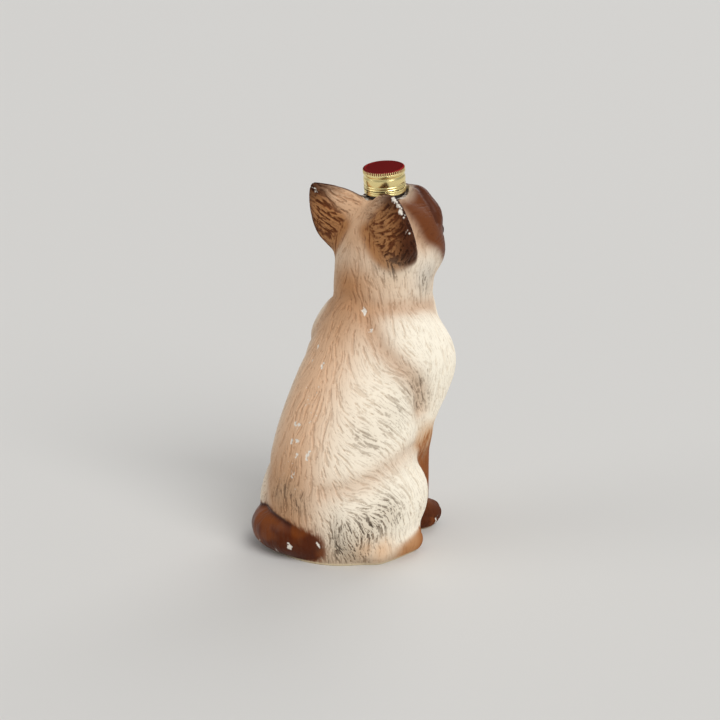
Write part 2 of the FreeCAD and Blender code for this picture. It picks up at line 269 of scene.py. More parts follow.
# %% Head and face
HEAD = vec(0, -42, 208)
HEAD_PITCH = 16.0
SKULL = (HEAD, (36, 35.5, 30.5), HEAD_PITCH)
CHEEK = ((18.5, -50, 198), (17.5, 20, 17.5))
MUZZLE = ((0, -69, 206), (13.5, 16, 12.5), HEAD_PITCH)
BROW = ((10, -56, 231), (11, 12, 10.5))
SOCKET_EDGE = ((17, -60, 221), (11, 11, 11))
HEAD_MASSES = [(CHEEK, 8), (MUZZLE, 8), (BROW, 7), (SOCKET_EDGE, 6)]
# In the head's axes
NOSE_BRIDGE = ((0, 24, 17), (0, 39.5, -1), 8.5, 4.8)
LIP_PAD = ((6.0, 36.0, -11.5), (7.2, 7.6, 6.8))
CHIN = ((0, 33.5, -19), (8, 7.5, 6))
EYE_HOLLOW = ((14.5, 34.5, 6.0), (9, 7, 7))
NOSE = ((0, 42.0, -3.4), (5.0, 3.2, 3.4))
MOUTH_LINE = [(0, 44.5, -6.5), (0, 43.0, -10.5), (4.5, 41, -15.5), (10, 34, -16.5)]
MOUTH_DEPTH, MOUTH_WIDTH = 1.3, 1.0


def head_axes(p):
    """Side, ahead and up of a point in the head's own axes."""
    c, s = math.cos(math.radians(HEAD_PITCH)), math.sin(math.radians(HEAD_PITCH))
    q = p - HEAD
    return np.stack([q[:, 0], -q[:, 1] * c + q[:, 2] * s, q[:, 1] * s + q[:, 2] * c], 1)


def head_depth(p):
    """Depth in skull, cheeks, muzzle, brows, lids, eyes, nose and chin."""
    h, q = mirrored(head_axes(p)), mirrored(p)
    d = ball(q, *SKULL)
    for mass, width in HEAD_MASSES:
        d = join(d, ball(q, *mass), width)
    d = join(d, limb(h, *NOSE_BRIDGE), 6)
    for mass in (LIP_PAD, CHIN):
        d = join(d, ball(h, *mass), 3)
    d = carve(d, ball(h, *EYE_HOLLOW), VALLEY)
    d = join(d, np.maximum(ball(h, *LIDS), -almond(h)[0]), 1.5)
    d = np.minimum(d, ball(h, *EYEBALL))
    d = join(d, ball(h, *NOSE), 1.2)
    return d + MOUTH_DEPTH * bell(path_distance(h, MOUTH_LINE), MOUTH_WIDTH)


# %% [markdown]
# Each ear is a leaf, full at its base and drawn to a tip, cut level in front, with a smaller leaf
# hollowed out of the side that faces forwards. Its inner half is wider and runs into the crown.

# %% Ears
EAR_BASE = vec(24.5, -26.5, 207)
EAR_LENGTH = 42.5
EAR_AXIS = unit(vec(12.9, 19.3, 36.5))
EAR_FACING = unit_across(vec(0.25, -0.95, 0.2), EAR_AXIS)
EAR_INWARD = np.cross(EAR_FACING, EAR_AXIS)
EAR_OUTER_HALF = 18
EAR_FRONT = 7                  # the leaf is cut off this far ahead of its axis
EAR_HOLLOW_BASE = EAR_BASE + EAR_FACING * 8 + EAR_AXIS * 4
LEAF_FOOT = -0.45              # a leaf starts this far below its base, as a share of its length


def leaf_halves(t, outer, inner, deep):
    """Half widths to the outside and the inside, and half depth, at t from the base, 0, to the tip, 1:
    (1 - t^2)^0.8, 0.75 + 1.1 t - 1.85 t^2 and 1 - t^2, rounded off below the base. The outer half
    narrows again towards the base."""
    up = np.clip(t, 0, 1)
    low = np.sqrt(np.clip(1 - (np.clip(t, LEAF_FOOT, 0) / 0.46) ** 2, 0.04, 1))
    out = outer * (1 - up ** 2) ** 0.8 * low * (1 - 0.35 * np.clip((0.4 - t) / 0.5, 0, 1) ** 2)
    into = inner * (0.75 + 1.1 * up - 1.85 * up ** 2) * low
    return out, into, deep * (1 - up ** 2) * low + 1.2


def leaf_depth(p, base, length, outer, inner, deep):
    """Depth in a leaf: at each t an ellipse across the ear's axis that spans both half widths and 1.5 mm
    more, taken as 0.85 of the distance across, since the sides slope to the tip."""
    q = p - base
    t = q @ EAR_AXIS / length
    out, into, b = leaf_halves(t, outer, inner, deep)
    a = (out + into) / 2 + 1.5
    k = np.hypot((q @ EAR_INWARD - (into - out) / 2) / a, q @ EAR_FACING / b)
    d = (k - 1) * np.minimum(a, b) * 0.85
    return np.maximum(np.maximum(d, (t - 1) * length), (LEAF_FOOT - t) * length)


def ear_depth(p):
    """Depth in both ears, cut in front and hollowed."""
    q = mirrored(p)
    shell = leaf_depth(q, EAR_BASE, EAR_LENGTH, EAR_OUTER_HALF, 29.9, 13.5)
    shell = carve(shell, EAR_FRONT - (q - EAR_BASE) @ EAR_FACING, VALLEY)
    hollow = leaf_depth(q, EAR_HOLLOW_BASE, EAR_LENGTH - 6, 14.8, 23.5, 14.5)
    return carve(shell, hollow, 1.6)


# %% [markdown]
# Chance. Broken edges, fur and wear need numbers that look random but come out the same each run: a
# table filled once from a fixed seed and read between its cells.

# %% Noise and ramps
TABLE = np.random.default_rng(7).random((64, 64, 64), np.float32)


def noise(p, cell, shift=0.0):
    """Smooth random value, 0 to 1, from a table with one number for each cell of a grid."""
    q = p / cell + shift
    i = np.floor(q).astype(np.int32)
    f = q - i
    f = f * f * (3 - 2 * f)
    i0, i1 = i & 63, (i + 1) & 63
    x0, y0, z0 = i0.T
    x1, y1, z1 = i1.T
    fx, fy, fz = f.T
    low = (TABLE[x0, y0, z0] * (1 - fx) + TABLE[x1, y0, z0] * fx) * (1 - fy)
    low += (TABLE[x0, y1, z0] * (1 - fx) + TABLE[x1, y1, z0] * fx) * fy
    top = (TABLE[x0, y0, z1] * (1 - fx) + TABLE[x1, y0, z1] * fx) * (1 - fy)
    top += (TABLE[x0, y1, z1] * (1 - fx) + TABLE[x1, y1, z1] * fx) * fy
    return low * (1 - fz) + top * fz


def ramp(a, b, x):
    """Rise from 0 at a to 1 at b, level at both ends: t t (3 - 2 t)."""
    t = np.clip((x - a) / (b - a), 0, 1)
    return t * t * (3 - 2 * t)


# %% [markdown]
# The neck hole. The crown carries a short stub with a hole for the moulded neck; its rim was broken
# ragged when the bottle was filled and handled. Places on the neck are a distance along its axis from
# the lower edge of the tamper ring, and a radius, so every turned piece shares these axes.

# %% Neck axes, stub and hole
NECK_ORIGIN = vec(0, -38.5, 238.5)
NECK_AXIS = unit(vec(-math.tan(math.radians(3.0)), math.tan(math.radians(8.5)), 1))
STUB_TOP, STUB_FOOT = -2.4, -13
STUB_R = 15.0
CLEAR_R = 15.8        # above the stub the crown is cut back to this radius, clear of the cap
HOLE_R = 12.0
HOLE_FOOT = -17


def neck_axes(p):
    """Distance along the neck axis and radius from it."""
    q = p - NECK_ORIGIN
    s = q @ NECK_AXIS
    return s, norm(q - s[:, None] * NECK_AXIS, axis=1)


def opened(p, d):
    """Depth with the ragged stub joined on, the crown cut clear above it and the hole cut through it."""
    s, r = neck_axes(p)
    ragged = 1.6 * (noise(p, 2.6) - 0.35) + 1.0 * (noise(p, 1.1, 9) - 0.5)
    edge = 0.5 * np.abs(ragged) * ramp(12.5, 15, r)
    stub = np.maximum(r - STUB_R + 0.5 * ragged, s - STUB_TOP + edge)
    d = join(d, np.maximum(stub, STUB_FOOT - s), 2.5)
    d = np.maximum(d, np.minimum(CLEAR_R - r, s - STUB_TOP))
    return np.maximum(d, -np.maximum(r - HOLE_R, HOLE_FOOT - s))


# %% [markdown]
# Creases. The modeller drew a tool along four lines: behind the shoulder blade, round the neck, over the
# thigh and above the brow. Each line is a shallow valley, a bell across, pressed into the joined masses.

# %% Creases and the whole skin
SHOULDER_LINE = [(17.9, -2.4, 160), (31.4, -1.8, 143.6), (42.3, -6.7, 133.2), (47.6, -16.4, 122.7),
                 (46.5, -24.5, 111.1), (44.6, -26.8, 98.3)]
NECK_LINE = [(0, -0.4, 171.5), (14.7, -2.7, 166.8), (26.2, -11.7, 166.6), (34.9, -26.5, 166.9),
             (31, -53.3, 162.7)]
THIGH_LINE = [(26.7, 45.3, 52.8), (37.1, 36.3, 56), (44.8, 25.5, 59.3), (49, 11.1, 65.8),
              (48.4, -11.4, 71.9), (44.1, -23.7, 72.1)]
BROW_LINE = [(12.9, -55.7, 240.5), (19.7, -55, 236.7), (24.4, -56.3, 231.1), (28.7, -56.6, 224.9),
             (30.4, -57.7, 219.8)]
# Line, depth and width of each crease
BODY_CREASES = [(SHOULDER_LINE, 1.7, 4.5), (NECK_LINE, 1.6, 4.0), (THIGH_LINE, 1.6, 4.5)]
HEAD_CREASES = [(BROW_LINE, 1.7, 2.4)]
# Heights between which each group can reach the skin
BODY_TOP, CREASE_FOOT, CREASE_TOP, HEAD_FOOT, EAR_FOOT, CROWN_FOOT = 236, 45, 190, 160, 175, 215
FAR_OUTSIDE = 60


def crease_distance(p, line):
    """Distance to a crease line, on both sides of the cat."""
    return path_distance(mirrored(p), line)


def pressed(p, creases):
    """Depth that the creases take: each one's depth times a bell across it."""
    return sum(deep * bell(crease_distance(p, line), wide) for line, deep, wide in creases)


def skin_depth(p):
    """Depth in the whole figure with creases, toes, stub and hole; each group only where it can reach."""
    z = p[:, 2]
    d = np.full(len(p), FAR_OUTSIDE, np.float32)
    m = z < BODY_TOP
    d[m] = body_depth(p[m])
    m = (z > CREASE_FOOT) & (z < CREASE_TOP)
    d[m] += pressed(p[m], BODY_CREASES)
    m = z > HEAD_FOOT
    d[m] = join(d[m], head_depth(p[m]), VALLEY) + pressed(p[m], HEAD_CREASES)
    m = z > EAR_FOOT
    d[m] = join(d[m], ear_depth(p[m]), VALLEY)
    m = z < LOW_TOP
    foot, tail = low_depth(p[m])
    d[m] = join(join(d[m], foot, 8), tail, 3) + toe_grooves(p[m])
    m = z > CROWN_FOOT
    d[m] = opened(p[m], d[m])
    return np.maximum(d, -z)


# %% [markdown]
# From depth to skin. Space is cut into small cells; cells far from the surface are dropped at a coarse
# size before the rest are halved, since a full grid of half-millimetre cells would hold 38 million.

# %% Cells near the surface
CORNERS = np.array([(i, j, k) for i in (0, 1) for j in (0, 1) for k in (0, 1)], np.int64)
MOST_CELLS = 2048     # more than any side of the grid has


def cell_key(c):
    """One number for each cell or corner."""
    return (c[:, 0] * MOST_CELLS + c[:, 1]) * MOST_CELLS + c[:, 2]


def near_cells(depth, low, high, cell, levels):
    """Cells of the smallest size that may hold the surface, halving from the largest; 1.25 of the size
    and 0.6 mm leave room for depths that run steep."""
    size = 2 ** levels
    count = np.ceil((high - low) / (cell * size)).astype(int)
    cells = np.stack(np.meshgrid(*[np.arange(n) for n in count], indexing="ij"), -1).reshape(-1, 3)
    while size > 1:
        middle = (low + (cells + 0.5) * cell * size).astype(np.float32)
        cells = cells[np.abs(depth(middle)) < size * cell * 1.25 + 0.6]
        cells = (cells[:, None] * 2 + CORNERS).reshape(-1, 3)
        size //= 2
    return cells


# %% [markdown]
# Every last cell that the surface crosses gets one point, the mean of the crossings on its edges, and
# four cells round a crossed edge make one face. One step along the slope of the depth then puts the
# points on the surface and gives their normals.

# %% Skin from depths
CELL = 0.5
SKIN_LOW, SKIN_HIGH = (-58, -90, -1.2), (66, 64, 246)


def skin_mesh(depth, low, high, cell, levels=3):
    """Points and four-sided faces of the surface where depth is zero, faces turned outwards."""
    low, high = np.array(low, float), np.array(high, float)
    cells = near_cells(depth, low, high, cell, levels)
    corner = (cells[:, None] + CORNERS).reshape(-1, 3)
    _, first, back = np.unique(cell_key(corner), return_index=True, return_inverse=True)
    value = depth((low + corner[first] * cell).astype(np.float32))[back.ravel()].reshape(-1, 8)
    crossed = (value.min(1) < 0) & (value.max(1) >= 0)
    cells, value = cells[crossed], value[crossed]
    order = np.argsort(cell_key(cells))
    cells, value = cells[order], value[order]
    key = cell_key(cells)
    total = np.zeros((len(cells), 3), np.float32)
    count = np.zeros(len(cells), np.float32)
    faces = []
    for axis, step in ((0, 4), (1, 2), (2, 1)):
        for a in (a for a in range(8) if not a & step):
            da, db = value[:, a], value[:, a + step]
            cross = (da < 0) != (db < 0)
            t = da[cross] / (da[cross] - db[cross])
            total[cross] += CORNERS[a] + t[:, None] * np.eye(3)[axis]
            count[cross] += 1
        cross = np.nonzero((value[:, 0] < 0) != (value[:, step] < 0))[0]
        b, c = np.eye(3, dtype=np.int64)[[(axis + 1) % 3, (axis + 2) % 3]]
        ring = [cell_key(cells[cross] - o) for o in (0 * b, b, b + c, c)]
        quad = np.stack([np.searchsorted(key, k) for k in ring], 1)
        inside = value[cross, 0] < 0
        faces.append(np.where(inside[:, None], quad, quad[:, ::-1]))
    points = low + (cells + total / count[:, None]) * cell
    return points.astype(np.float32), np.concatenate(faces)


def settle(depth, points, reach=0.25, flattest=0.3, most=0.6):
    """Points moved onto the surface by one step along the slope, and the slope as normals; the slope
    comes from four points round each, the corners of a tetrahedron."""
    corners = np.array([(1, 1, 1), (1, -1, -1), (-1, 1, -1), (-1, -1, 1)], np.float32)
    values = [depth(points + c * reach) for c in corners]
    slope = sum(v[:, None] * c for v, c in zip(values, corners)) / (4 * reach)
    size = np.maximum(norm(slope, axis=1, keepdims=True), flattest)
    middle = sum(values)[:, None] / 4
    return points - np.clip(middle / size, -most, most) * slope / size, slope / size


points, faces = skin_mesh(skin_depth, SKIN_LOW, SKIN_HIGH, CELL)
points, normals = settle(skin_depth, points)
print("skin", len(points), "points", len(faces), "faces", points.min(0), points.max(0))

# %% [markdown]
# Places on the skin. Coat and paint change from part to part, so each part gets a number at every point,
# 1 on it and 0 off it, with a soft edge as wide as the airbrush left it.

# %% Places on the skin
X, Y, Z = points.T
paired = mirrored(points)
both_sides = np.stack([np.sign(X), np.ones(len(points)), np.ones(len(points))], 1)
head_at = head_axes(points)
ahead, up = head_at[:, 1], head_at[:, 2]
neck_s, neck_r = neck_axes(points)
behind = Y - curve(Z, TRUNK[:, 0], TRUNK[:, 1])
ear_at = ear_depth(points)
foot_at, tail_at = low_depth(points)
leg_at = np.minimum(limb(paired, *FOREARM), ball(paired, *PAW))

on_ear = ramp(1.6, 0.2, ear_at) * ramp(186, 196, Z)
in_ear = on_ear * ramp(-0.1, 0.35, normals * both_sides @ EAR_FACING)
on_tail = ramp(3.2, 1.6, tail_at) * (Z < LOW_TOP)
on_foot = ramp(3.0, 0.5, foot_at) * (Z < 30) * (1 - on_tail)
on_leg = ramp(6.0, 2.5, leg_at) * ramp(104, 84, Z) * (1 - on_foot)
on_thigh = ramp(5, -4, ball(paired, *THIGH))
# The face's dark patch ends in front of the ears and above the throat and is thin by the neck
on_face = ramp(-28, -8, ahead - 0.4 * up) * ramp(-2, 14, ahead + 14 * ramp(-12, 8, up))
on_face = on_face * ramp(-14, 2, ahead + np.minimum(up, 0)) * (0.35 + 0.65 * ramp(14, 24, neck_r))
on_face = on_face * ramp(168, 182, Z) * (1 - on_ear)
print("face", float(on_face.mean()), "ears", float(on_ear.mean()))

# %% [markdown]
# The coat was combed into the clay with a pointed tool. Strokes run down the spine, slant forwards over
# the ribs, arc over the thigh, fan out from the nose and slant inwards down the backs of the ears.

# %% Direction of the coat
HIP_Y, HIP_Z = 38, 4                                    # the strokes on the thigh turn about this line
NOSE_TIP = vec(0, -80, 205)
DOWN_HAUNCH = np.array((0, -0.25, -1))
DOWN_EAR = 0.63 * EAR_INWARD - 0.78 * EAR_AXIS


def unit_rows(v, least=0.0):
    """Arrows of length 1, one a row; least keeps the shortest ones from growing without end."""
    return v / (norm(v, axis=1, keepdims=True) + least)


def combed(p, normal):
    """Direction of the strokes at each point, lying in the skin and swaying a little."""
    x, y, z = p.T
    slant = np.radians(8 + 46 * ramp(8, 40, np.abs(x)) * ramp(165, 120, z))
    slant = slant * ramp(-34, 6, y + 0.35 * (z - 90)) * ramp(175, 160, z)
    flow = np.stack([0 * slant, -np.sin(slant), -np.cos(slant)], 1)
    flow[:, 0] += np.sign(x) * 0.25 * ramp(160, 172, z)
    arc = unit_rows(np.stack([0 * slant, -(z - HIP_Z), y - HIP_Y], 1), 1e-3)
    haunch = ramp(46, 24, z) * ramp(-10, 8, y)
    for way, where in ((arc, on_thigh), (DOWN_HAUNCH, haunch), (unit_rows(p - NOSE_TIP), on_face),
                       (DOWN_EAR * both_sides, on_ear)):
        flow += (way - flow) * where[:, None]
    flow -= normal * np.sum(flow * normal, 1, keepdims=True)
    flow = unit_rows(flow, 1e-3)
    sway = 0.9 * (noise(p, 7.0, 31.0) - 0.5)[:, None]
    return np.cos(sway) * flow + np.sin(sway) * np.cross(normal, flow)


flow = combed(points, normals)

# %% [markdown]
# A stroke is random noise averaged along its direction, which leaves it long and thin, as a comb does.
# The comb went deepest on ears and haunches and hardly marked the face, the feet and the tail.

# %% Combed coat
STROKE_CELL = 1.05      # width of a stroke
LUMP_CELL = 14.0        # the hand-worked clay is uneven at about this size
LUMP_DEPTH = 0.5


def strokes(p, flow, length, cell, shift):
    """Noise averaged along the flow, about 0 with a spread of 1."""
    steps = np.linspace(-0.5, 0.5, 11) * length
    mean = sum(noise(p + flow * s, cell, shift) for s in steps) / len(steps)
    return (mean - mean.mean()) / mean.std()


long_strokes = strokes(points, flow, 8.0, STROKE_CELL, 3.0)
ear_strokes = strokes(points, flow, 6.0, STROKE_CELL, 11.0)
groove = ramp(0.2, 1.6, long_strokes)
groove += (ramp(-0.3, 1.2, ear_strokes) - groove) * on_ear
depth_mm = 0.55 + 0.3 * on_thigh * ramp(60, 35, Z) + 0.15 * ramp(60, 15, Z)
for deep, where in ((0.16, on_face), (0.3, on_leg), (0.12, np.maximum(on_tail, on_foot)),
                    (0.95, on_ear), (0.15, in_ear)):
    depth_mm += (deep - depth_mm) * where
depth_mm *= ramp(0.3, 3.0, Z)
lumps = LUMP_DEPTH * (noise(points, LUMP_CELL, 5.0) - 0.5) * ramp(1, 8, Z)
coat = points - normals * (depth_mm * groove + lumps)[:, None]
print("coat", float(groove.mean()), float(depth_mm.max()))

# %% [markdown]
# Paint. The cast was fired, then sprayed with cream, tan and dark brown. Each coat is a colour laid over
# what lies below, with a weight at every point, in the order of the real coats, its sRGB value judged.
# First come the cream ground and the tans of back, nape and crown, then painted shade in the creases
# and towards the foot.

# %% Cream and tan


def linear(text):
    """Linear red, green and blue of an sRGB hex colour."""
    v = np.array([int(text[i:i + 2], 16) for i in (1, 3, 5)]) / 255
    return np.where(v <= 0.04045, v / 12.92, ((v + 0.055) / 1.055) ** 2.4).astype(np.float32)


paint = np.tile(linear("#FBF2DF"), (len(points), 1))
rough = np.full(len(points), 0.62, np.float32)


def spray(colour, weight):
    """Lay a colour over the paint, weight 0 to 1 at each point."""
    paint[:] += (linear(colour) - paint) * np.clip(weight, 0, 1)[:, None]


def spot(places, radius):
    """Soft round marks, 1 in the middle of the nearest place: a bell of the distance."""
    near = np.min([norm(points - vec(*c), axis=1) for c in places], axis=0)
    return bell(near, radius)


# Back and spine, darker towards the foot
saddle = np.exp(-np.abs((X - 6) / 26) ** 3) * ramp(4, 24, behind) * ramp(178, 150, Z)
spray("#E6C4A2", 0.5 * bell(X, 34) * ramp(2, 24, behind))
spray("#DFAE84", 0.75 * saddle)
spray("#B98B63", 0.7 * saddle * ramp(95, 45, Z))
# Collar, withers, nape and crown
spray("#CBA27B", 0.5 * bell(Z - 182, 15))
spray("#BC8F68", 0.6 * spot([(0, -2, 158)], 21))
spray("#B37A48", 0.85 * bell(Z - 178, 19) * bell(X, 20) * ramp(-26, -4, Y))
spray("#C8966A", 0.75 * ramp(190, 212, Z) * ramp(26, -6, ahead))
# Painted shade in the creases, then pale cheeks, then painted shade towards the foot, where it stands on
# the floor
for line, width, amount in ((SHOULDER_LINE, 8, 0.6), (NECK_LINE, 6.5, 0.65), (THIGH_LINE, 8, 0.4)):
    spray("#BE8F68", amount * bell(crease_distance(points, line), width))
spray("#DDD5C8", 0.9 * spot([(-35, -44, 185), (35, -44, 185)], 12))
# Painted shade towards the foot, a tan and then a grey, where the cat stands on the floor
spray("#D8B996", 0.5 * ramp(20, 2, Z))
spray("#8C7762", 0.45 * ramp(11, 2, Z))

# %% [markdown]
# The points of the coat: legs, hind feet and tail in browns that darken towards the toes. The legs' upper
# edge is ragged, because the spray caught on the strokes, so height and stroke are added.

# %% Brown legs, feet and tail
ragged_z = Z + 6 * long_strokes
streaks = ramp(0.8, -0.8, long_strokes)
spray("#CDA377", 0.75 * ramp(13, 3, leg_at) * ramp(58, 80, Z) * ramp(112, 80, ragged_z))
spray("#B9824E", 0.85 * on_leg * ramp(94, 64, ragged_z))
spray("#8A4B1D", 0.95 * on_leg * ramp(84, 52, ragged_z))
# Painted shade in the strokes on the upper legs
spray("#6B3411", 0.5 * on_leg * ramp(86, 60, Z) * groove)
spray("#4F230C", 0.95 * on_leg * ramp(34, 12, Z))
spray("#B57C48", 0.9 * on_foot * ramp(12, -6, Y))
spray("#96561F", 0.9 * on_foot * ramp(-14, -25, Y))
# Overspray on the haunch, then the tail, with painted shade where it meets the haunch and a painted
# highlight on top
tail_end = spot([(-19, 49, 17), (-19, 49, 8)], 7)
spray("#7A3E14", 0.9 * ramp(6, 2, tail_at) * streaks * (Z < LOW_TOP))
spray("#6A300C", 1.2 * tail_end * np.maximum(streaks, ramp(4, 2, tail_at)))
spray("#522006", 0.97 * on_tail)
# Painted shade where the tail meets the haunch
spray("#2E1004", 0.7 * on_tail * ramp(0.2, 2.0, tail_at) * ramp(-14, -4, X))
# Painted highlight on the top of the tail, where it faces up
spray("#96521F", 0.6 * on_tail * ramp(0.3, 0.95, normals[:, 2]))
mottle = ramp(0.45, 0.75, noise(points, 8.0, 51.0))
spray("#8E4A18", 0.45 * mottle * np.maximum(on_tail, on_leg * ramp(40, 15, Z)))

# %% [markdown]
# Face and ears. The mask darkens towards the nose, with painted shade in the crease above each brow. The
# backs of the ears are brown on the outer side, with painted highlights of tan on the ridges between the
# strokes, a dark tip and edge, partly their own colour and partly painted shade along the rim, and a dark
# inside, deepened with painted shade in the hollow.

# %% Brown face and ears
spray("#6E3B1B", on_face)
spray("#562A15", 0.9 * ramp(8, 26, ahead) * on_face)
spray("#3B1B0E", 0.9 * ramp(28, 40, ahead) * on_face)
# Painted shade in the crease above each brow
spray("#3E2019", 0.75 * bell(crease_distance(points, BROW_LINE), 2.0))
from_base = paired - EAR_BASE
along_ear = from_base @ EAR_AXIS / EAR_LENGTH
into_ear = from_base @ EAR_INWARD
fore_ear = from_base @ EAR_FACING
root = ramp(7, 2, ear_at) * ramp(0.6, 0.3, along_ear) * ramp(-0.3, -0.1, along_ear)
root = root * ramp(2, -4, fore_ear)
brown = np.maximum(on_ear, root) * ramp(4, -6, into_ear - 27 + 24 * np.clip(along_ear, 0, 1))
edge = np.maximum(ramp(0.65, 1.0, along_ear), ramp(-2, 14, fore_ear - into_ear))
spray("#8A5024", 0.95 * brown)
# Painted highlights of tan on the ridges between the strokes
spray("#C08A58", 0.7 * brown * (1 - groove) * ramp(-14, 6, into_ear - fore_ear))
# Dark tip and rim: partly the ears' own darker points, partly painted shade along the outer rim
spray("#3F1A08", 0.88 * on_ear * edge)
# Near-black inside: dark brown paint, deepened as painted shade in the hollow
spray("#331606", 0.95 * in_ear)
spray("#5E341C", 0.55 * in_ear * ramp(0.5, -0.8, long_strokes))

# %% [markdown]
# The strokes are darkened as painted shade in them. They are darker still, under a grey, on haunches,
# shoulders and cheeks and by the tail: partly soot, partly painted shade in the hollows there.

# %% Painted shade in the strokes, soot and shade
STROKE_SHADE_TAKES = vec(0.75, 0.95, 1.1)      # from red, green and blue
# Painted shade in the strokes: less in front and on tail and legs, more on the backs of the ears
stroke_shade = groove * (0.2 - 0.06 * ramp(10, -20, behind) - 0.12 * np.maximum(on_tail, on_leg)
                  + 0.4 * on_ear * (1 - in_ear) * ramp(20, 6, into_ear))
paint *= 1 - stroke_shade[:, None] * STROKE_SHADE_TAKES
soot_and_shade = spot([(-50.3, 27.3, 29.9), (-54, 13, 36), (-43.7, 38.3, 24), (-40, 38, 14), (51, -2, 34)], 13)
# On both sides: places, radius and amount of soot and painted shade
SOOT_AND_SHADE_PAIRS = (([(47, -20, 118), (45, -26, 105)], 9, 0.7), ([(35, -44, 181), (27, -18, 193)], 9, 0.7),
              ([(42, 18, 86), (45, -2, 100)], 12, 0.45), ([(3, 52.7, 49), (9, 51, 44)], 8, 0.6))
for places, radius, amount in SOOT_AND_SHADE_PAIRS:
    soot_and_shade = np.maximum(soot_and_shade, amount * spot(places + [(-x, y, z) for x, y, z in places], radius))
spray("#DBA774", 0.6 * spot([(-47, 28, 14), (-51, 16, 12)], 9))
# Soot and painted shade: a grey over the skin, then dark in the strokes
spray("#B7A58C", 0.45 * soot_and_shade)
spray("#4F4033", 0.9 * soot_and_shade * ramp(0.1, 0.6, groove))
spray("#DCCDAA", 0.7 * ramp(2.0, 1.0, Z))
rough += (0.32 - rough) * np.maximum(on_tail, 0.7 * on_face)
print("paint", paint.min(0), paint.max(0))

# %% [markdown]
# Eyes and nose were touched in with a brush: blue irises with a dark slit, a dark rim round the lids and
# a dark nose. The eyes are glossy.

# %% Brushwork on the face
face_at = mirrored(head_at)
opening, eye_side, eye_up = almond(face_at)
off_ball = np.abs(ball(face_at, *EYEBALL))
in_eye = (off_ball < 0.5) * ramp(0.1, -0.3, opening)
spray("#1C0D06", 0.9 * ramp(1.8, 0.5, opening) * ramp(3.0, 1.0, off_ball))
spray("#5F97C6", in_eye)
spray("#2F5E92", in_eye * ramp(2.0, 5.0, np.hypot(eye_side, eye_up)))
spray("#0A0908", in_eye * ramp(1.2, 0.9, np.hypot(eye_side, eye_up / 3.4)))
spray("#1E0E08", 0.9 * ramp(1.2, 0.3, ball(face_at, *NOSE)))
rough += (0.12 - rough) * in_eye

# %% [markdown]
# Wear. The paint has come off in small flakes on the spine, the tail, the toes and the rims of the ears
# and of the neck hole, and shows the white body under it. A flake is a ball with a broken edge, drawn
# out along the strokes, because paint lifts along them first.

# %% Chips
CHIPS = [(-12, 45.6, 74.9, 1.7), (1.6, 40.7, 92, 1.2), (-0.2, 44.3, 82.8, 1.2), (12.5, 12.5, 139.1, 1.1),
         (12.7, 18, 129.8, 1.0), (0.3, 20.6, 128.7, 1.2), (-2.6, 51.3, 60.7, 1.0), (-4.4, 56.5, 11.7, 2.2),
         (8.8, 55.4, 4.3, 1.4), (25.9, 55.8, 7.1, 0.9), (-22, 46.7, 14.7, 0.9), (-39.4, -7.8, 240.9, 1.4),
         (-3.3, 47.4, 73.2, 0.9), (6, 40.2, 92.2, 1.0), (5.1, 44.8, 81, 0.9), (-14.7, -4.3, 164.2, 1.2),
         (-39.1, -12.8, 236.3, 1.8), (-39, -7.3, 242.2, 1.5), (-38.5, -20, 228, 1.2),
         (27.1, -3.9, 215.6, 0.9), (21, -4.5, 207.6, 0.9), (34.4, -5.5, 238.8, 0.9),
         (-30.2, -61, 5.2, 1.9), (-22.9, -2, 152.8, 1.1)]
# On the outer rim of the right ear: share of its length, and radius
RIM_T, RIM_R = np.array((0.97, 0.91, 0.86, 0.8, 0.56)), (1.3, 1.0, 1.2, 0.9, 0.6)
CHIP_DEPTH = 0.22
rim_half = leaf_halves(RIM_T, EAR_OUTER_HALF, 0, 0)[0] + 1.2
rim_at = EAR_BASE + np.outer(RIM_T * EAR_LENGTH, EAR_AXIS) - np.outer(rim_half, EAR_INWARD)
chip = np.zeros(len(points), np.float32)
broken = 3.0 * (noise(points, 1.2, 17) - 0.45)
for x, y, z, r in CHIPS + [(-x, y, z, r) for (x, y, z), r in zip(rim_at, RIM_R)]:
    away = points - vec(x, y, z)
    near = np.sqrt(np.sum(away ** 2, 1) - 0.7 * np.sum(away * flow, 1) ** 2)
    chip = np.maximum(chip, ramp(0.35, -0.2, near - 0.85 * r + broken))
# Specks along the spine, and the rim of the neck hole, half flaked and half dirty
specks = ramp(0.84, 0.9, noise(points, 1.0, 23)) * ramp(0.45, 0.7, noise(points, 9, 2)) * bell(X + 2, 12)
chip = np.maximum(chip, 0.8 * specks * ramp(8, 26, behind) * ramp(40, 60, Z) * ramp(150, 120, Z))
rim = ramp(17.0, 15.2, neck_r) * ramp(-6.5, -4.5, neck_s) * (Z > 225)
flaked = noise(points, 2.0, 41)
chip = np.maximum(chip, 0.9 * rim * ramp(0.5, 0.62, flaked))
spray("#3A2B20", 0.7 * rim * ramp(0.56, 0.44, flaked))
spray("#EDE6DA", chip)
rough += (0.8 - rough) * chip
coat -= normals * (CHIP_DEPTH * chip)[:, None]
print("chips", float(chip.sum()))

# %% [markdown]
# Materials. One function makes a plain finish with a fine grain, whose size is that of the real stuff in
# millimetres: lacquered sheet, moulded plastic, set plaster, pressed board and cork.

# %% Plain finishes


def add(tree, kind, inputs, **settings):
    """Add a shader node with settings; each input is a value or another node's output."""
    node = tree.nodes.new("ShaderNode" + kind)
    for key, value in settings.items():
        setattr(node, key, value)
    for key, value in inputs.items():
        if isinstance(value, bpy.types.NodeSocket):
            tree.links.new(value, node.inputs[key])
        else:
            node.inputs[key].default_value = value
    return node


